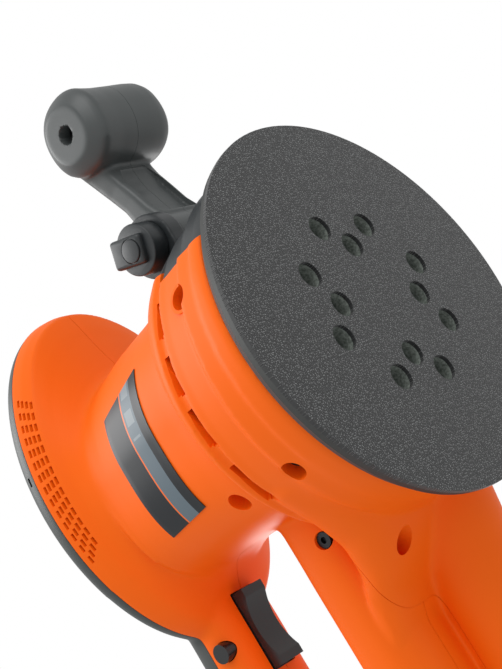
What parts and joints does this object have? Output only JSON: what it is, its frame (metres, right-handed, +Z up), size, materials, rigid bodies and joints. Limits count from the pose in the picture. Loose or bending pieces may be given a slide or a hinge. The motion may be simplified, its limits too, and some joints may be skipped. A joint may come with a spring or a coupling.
{
  "type": "orbital sander",
  "caption": "Upright orbital sander with a round perforated hook-face pad, slotted dust shroud, palm head, rear loop handle and tilting front handle.",
  "frame": {"origin": "middle of the sanding pad's lower face, with the pad at the rear of its orbit", "axes": "+Z up along the spindle, -Y forward to the auxiliary handle, +Y back to the D-handle, +X to the dust outlet side"},
  "size_m": [0.15, 0.3187, 0.1662],
  "materials": {
    "hook_fabric": "woven hook-and-loop face",
    "pad_foam": "moulded foam",
    "black_nylon": "fine texture",
    "orange_abs": "satin moulded",
    "black_cap": "satin moulded",
    "steel": "ground",
    "bearing_steel": "polished",
    "alloy": "die cast",
    "laminations": "stacked sheet",
    "copper": "enamelled winding",
    "carbon": "pressed",
    "brass": "drawn",
    "red_plastic": "polished moulding",
    "soft_rubber": "moulded",
    "label_film": "printed film",
    "board": "printed board",
    "zinc": "black oxide"
  },
  "bodies": {
    "tool": {"lower_bearing_outer": "bearing_steel", "upper_bearing_outer": "bearing_steel", "stator_core": "laminations", "field_coils": "copper", "brush_holders": "brass", "carbon_brushes": "carbon", "brush_springs": "steel", "bearing_plate": "alloy", "upper_bearing_seat": "black_nylon", "base_shroud": "orange_abs", "base_screws": "zinc", "dust_skirt": "soft_rubber", "left_housing": "orange_abs", "right_housing": "orange_abs", "housing_screws": "zinc", "top_cap": "black_cap", "dial_bracket": "black_nylon", "switch_body": "black_nylon", "control_board": "board", "cord_inlet": "soft_rubber", "label_plate": "label_film", "handle_bracket": "black_nylon", "pivot_bolt": "zinc"},
    "spindle": {"eccentric": "steel", "fan": "black_nylon", "spindle": "steel", "lower_bearing_inner": "bearing_steel", "lower_bearing_balls": "bearing_steel", "upper_bearing_inner": "bearing_steel", "upper_bearing_balls": "bearing_steel", "armature_core": "laminations", "armature_windings": "copper", "commutator": "copper", "pad_bearing_inner": "bearing_steel", "pad_bearing_balls": "bearing_steel"},
    "pad": {"hook_face": "hook_fabric", "pad_foam": "pad_foam", "pad_plate": "black_nylon", "pad_hub": "alloy", "pad_screws": "zinc", "pad_bearing_outer": "bearing_steel"},
    "trigger": {"trigger": "black_nylon"},
    "lock_button": {"lock_button": "red_plastic"},
    "speed_dial": {"speed_dial": "black_nylon"},
    "aux_handle": {"handle_left": "black_nylon", "handle_right": "black_nylon", "handle_screw": "zinc"},
    "clamp_knob": {"clamp_knob": "black_nylon"},
    "dust_adapter": {"dust_adapter": "black_nylon"}
  },
  "joints": [
    {"name": "spindle_spin", "type": "hinge", "parent": "tool", "child": "spindle", "pos_m": [0, -0.00225, 0.05], "axis": [0, 0, 1], "continuous": true},
    {"name": "pad_spin", "type": "hinge", "parent": "spindle", "child": "pad", "pos_m": [0, 0, 0.02], "axis": [0, 0, 1], "continuous": true},
    {"name": "trigger_press", "type": "slide", "parent": "tool", "child": "trigger", "axis": [0, 0, 1], "range_m": [0, 0.003], "stiffness_N_per_m": 900, "springref_m": -0.002},
    {"name": "lock_press", "type": "slide", "parent": "tool", "child": "lock_button", "axis": [1, 0, 0], "range_m": [0, 0.0018], "stiffness_N_per_m": 500, "springref_m": -0.001},
    {"name": "speed_dial_turn", "type": "hinge", "parent": "tool", "child": "speed_dial", "pos_m": [0, 0.10175, 0.1552], "axis": [1, 0, 0], "range_deg": [0, 270]},
    {"name": "aux_handle_tilt", "type": "hinge", "parent": "tool", "child": "aux_handle", "pos_m": [0, -0.06775, 0.062], "axis": [1, 0, 0], "range_deg": [-55, 25]},
    {"name": "clamp_knob_turn", "type": "hinge", "parent": "tool", "child": "clamp_knob", "pos_m": [-0.028, -0.06775, 0.062], "axis": [1, 0, 0], "range_deg": [-180, 180]},
    {"name": "dust_adapter_turn", "type": "hinge", "parent": "tool", "child": "dust_adapter", "pos_m": [0.028, 0.14775, 0.05], "axis": [0, 1, 0], "continuous": true}
  ]
}
